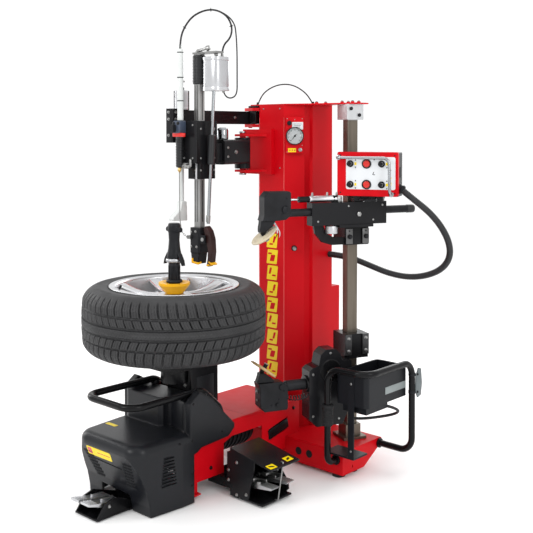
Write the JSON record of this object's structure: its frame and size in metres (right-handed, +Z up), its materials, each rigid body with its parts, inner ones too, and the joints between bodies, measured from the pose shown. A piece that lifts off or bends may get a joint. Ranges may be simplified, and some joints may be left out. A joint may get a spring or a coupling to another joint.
{
  "type": "tire changer machine",
  "caption": "Floor standing leverless tyre changer with a swinging tool arm, bead breaker arms, control console and a clamped wheel.",
  "frame": {"origin": "on the floor, under the wheel spindle's axis", "axes": "+Z up along the spindle, +Y from the front cover to the column, +X to the operator's side with the guide post"},
  "size_m": [1.2484, 1.4697, 1.9926],
  "materials": {
    "red_paint": "gloss",
    "black_paint": "gloss",
    "black_plastic": "satin",
    "bare_steel": "satin",
    "dark_casting": "satin",
    "aluminium": "satin",
    "chrome": "polished",
    "rubber": "matte",
    "grip_rubber": "matte",
    "yellow_plastic": "satin",
    "cream_plastic": "satin",
    "white_plastic": "satin",
    "red_plastic": "gloss",
    "pad_rubber": "matte"
  },
  "bodies": {
    "frame": {"air_unit": "aluminium", "base_beam": "red_paint", "column": "red_paint", "control_hose": "rubber", "cross_feet": "red_paint", "front_cover": "black_plastic", "front_handle": "black_paint", "front_pedal_box": "black_paint", "gauge_box": "red_paint", "gear_motor": "dark_casting", "guard_frame": "black_paint", "guide_post": "bare_steel", "hinge_brackets": "red_paint", "levelling_pads": "pad_rubber", "pillar": "black_paint", "pressure_gauge": "white_plastic", "side_pedal_box": "black_paint", "spindle_bearings": "bare_steel", "tool_tray": "black_plastic", "top_plate": "red_paint"},
    "spindle": {"spindle": "bare_steel", "rim": "aluminium", "tyre": "rubber"},
    "quick_lock": {"clamp_cone": "yellow_plastic", "lock_sleeve": "dark_casting", "lock_handle": "dark_casting"},
    "tool_arm": {"tool_arm": "black_paint"},
    "tool_carriage": {"tool_carriage": "black_paint", "hose_mast": "white_plastic", "control_grip": "grip_rubber"},
    "control_trigger": {"control_trigger": "black_plastic"},
    "tool_post": {"tool_post": "bare_steel", "post_grip": "grip_rubber", "tool_cylinder": "aluminium", "tool_head": "dark_casting", "tool_hose": "rubber"},
    "claw_rod": {"claw_rod": "chrome", "rod_grip": "grip_rubber"},
    "tool_claw": {"tool_claw": "dark_casting"},
    "press_arm": {"press_arm": "black_paint"},
    "press_rod": {"press_rod": "white_plastic"},
    "upper_carriage": {"upper_carriage": "black_paint", "upper_arm_box": "black_paint", "console_case": "black_plastic", "console_handle": "chrome"},
    "upper_bar": {"upper_bar": "black_paint"},
    "upper_disc": {"upper_disc": "cream_plastic"},
    "lower_carriage": {"lower_carriage": "black_paint"},
    "lower_bar": {"lower_bar": "black_paint"},
    "lower_disc": {"lower_disc": "cream_plastic"},
    "control_lever_1": {"control_lever_1": "black_plastic"},
    "control_lever_2": {"control_lever_2": "black_plastic"},
    "control_lever_3": {"control_lever_3": "black_plastic"},
    "control_lever_4": {"control_lever_4": "black_plastic"},
    "console_button_1": {"console_button_1": "red_plastic"},
    "side_pedal_1": {"side_pedal_1": "aluminium"},
    "front_pedal_1": {"front_pedal_1": "aluminium"},
    "console_button_2": {"console_button_2": "red_plastic"},
    "side_pedal_2": {"side_pedal_2": "aluminium"},
    "front_pedal_2": {"front_pedal_2": "aluminium"}
  },
  "joints": [
    {"name": "wheel_spin", "type": "hinge", "parent": "frame", "child": "spindle", "pos_m": [0, 0, 0.7], "axis": [0, 0, 1], "continuous": true},
    {"name": "lock_slide", "type": "slide", "parent": "spindle", "child": "quick_lock", "axis": [0, 0, 1], "range_m": [0, 0.14]},
    {"name": "tool_arm_swing", "type": "hinge", "parent": "frame", "child": "tool_arm", "pos_m": [-0.08, 0.49, 1.37], "axis": [0, 0, 1], "range_deg": [0, 30]},
    {"name": "tool_carriage_slide", "type": "slide", "parent": "tool_arm", "child": "tool_carriage", "axis": [0, 1, 0], "range_m": [-0.11, 0.02]},
    {"name": "control_trigger_press", "type": "slide", "parent": "tool_carriage", "child": "control_trigger", "axis": [0, 1, 0], "range_m": [0, 0.004], "stiffness_N_per_m": 600},
    {"name": "tool_post_slide", "type": "slide", "parent": "tool_carriage", "child": "tool_post", "axis": [0, 0, 1], "range_m": [-0.035, 0.2], "deforming": ["tool_hose"]},
    {"name": "claw_rod_slide", "type": "slide", "parent": "tool_post", "child": "claw_rod", "axis": [0.0498, 0.0124, 0.9987], "range_m": [0, 0.012]},
    {"name": "claw_tilt", "type": "hinge", "parent": "tool_post", "child": "tool_claw", "pos_m": [-0.034, 0.22, 1.002], "axis": [0, 1, 0], "range_deg": [-8, 0]},
    {"name": "press_arm_swing", "type": "hinge", "parent": "frame", "child": "press_arm", "pos_m": [-0.172, 0.64, 1.53], "axis": [0, 0, 1], "range_deg": [-80, 0]},
    {"name": "press_rod_slide", "type": "slide", "parent": "press_arm", "child": "press_rod", "axis": [0, 0, 1], "range_m": [-0.2, 0.04]},
    {"name": "upper_carriage_slide", "type": "slide", "parent": "frame", "child": "upper_carriage", "axis": [0, 0, 1], "range_m": [-0.14, 0.12], "deforming": ["control_hose"]},
    {"name": "upper_bar_slide", "type": "slide", "parent": "upper_carriage", "child": "upper_bar", "axis": [-0.4226, -0.9063, 0], "range_m": [-0.045, 0.05]},
    {"name": "upper_disc_spin", "type": "hinge", "parent": "upper_bar", "child": "upper_disc", "pos_m": [0.25702, 0.26953, 1.034], "axis": [-0.2484, -0.5327, 0.809], "continuous": true},
    {"name": "lower_carriage_slide", "type": "slide", "parent": "frame", "child": "lower_carriage", "axis": [0, 0, 1], "range_m": [-0.09, 0.04]},
    {"name": "lower_bar_slide", "type": "slide", "parent": "lower_carriage", "child": "lower_bar", "axis": [-0.4226, -0.9063, 0], "range_m": [-0.05, 0.04]},
    {"name": "lower_disc_spin", "type": "hinge", "parent": "lower_bar", "child": "lower_disc", "pos_m": [0.25533, 0.2659, 0.478], "axis": [-0.2484, -0.5327, -0.809], "continuous": true},
    {"name": "control_lever_1_tilt", "type": "hinge", "parent": "upper_carriage", "child": "control_lever_1", "pos_m": [0.44839, 0.6087, 1.33], "axis": [0.9272, 0.3746, 0], "range_deg": [-14, 14], "stiffness_Nm_per_rad": 0.4},
    {"name": "control_lever_2_tilt", "type": "hinge", "parent": "upper_carriage", "child": "control_lever_2", "pos_m": [0.57449, 0.65964, 1.33], "axis": [0.9272, 0.3746, 0], "range_deg": [-14, 14], "stiffness_Nm_per_rad": 0.4},
    {"name": "console_button_1_press", "type": "slide", "parent": "upper_carriage", "child": "console_button_1", "axis": [-0.3746, 0.9272, 0], "range_m": [0, 0.004], "stiffness_N_per_m": 600},
    {"name": "control_lever_3_tilt", "type": "hinge", "parent": "upper_carriage", "child": "control_lever_3", "pos_m": [0.44839, 0.6087, 1.242], "axis": [0.9272, 0.3746, 0], "range_deg": [-14, 14], "stiffness_Nm_per_rad": 0.4},
    {"name": "control_lever_4_tilt", "type": "hinge", "parent": "upper_carriage", "child": "control_lever_4", "pos_m": [0.57449, 0.65964, 1.242], "axis": [0.9272, 0.3746, 0], "range_deg": [-14, 14], "stiffness_Nm_per_rad": 0.4},
    {"name": "console_button_2_press", "type": "slide", "parent": "upper_carriage", "child": "console_button_2", "axis": [-0.3746, 0.9272, 0], "range_m": [0, 0.004], "stiffness_N_per_m": 600},
    {"name": "side_pedal_1_press", "type": "hinge", "parent": "frame", "child": "side_pedal_1", "pos_m": [0.302, 0.106, 0.06], "axis": [0, 1, 0], "range_deg": [0, 6], "stiffness_Nm_per_rad": 8},
    {"name": "side_pedal_2_press", "type": "hinge", "parent": "frame", "child": "side_pedal_2", "pos_m": [0.302, 0.196, 0.06], "axis": [0, 1, 0], "range_deg": [0, 6], "stiffness_Nm_per_rad": 8},
    {"name": "front_pedal_1_press", "type": "hinge", "parent": "frame", "child": "front_pedal_1", "pos_m": [-0.034, -0.392, 0.046], "axis": [1, 0, 0], "range_deg": [0, 12], "stiffness_Nm_per_rad": 8},
    {"name": "front_pedal_2_press", "type": "hinge", "parent": "frame", "child": "front_pedal_2", "pos_m": [0.028, -0.392, 0.046], "axis": [1, 0, 0], "range_deg": [0, 12], "stiffness_Nm_per_rad": 8}
  ],
  "couplings": [
    {"joint": "claw_tilt", "follows": "claw_rod_slide", "rad_per_m": -11.6}
  ]
}
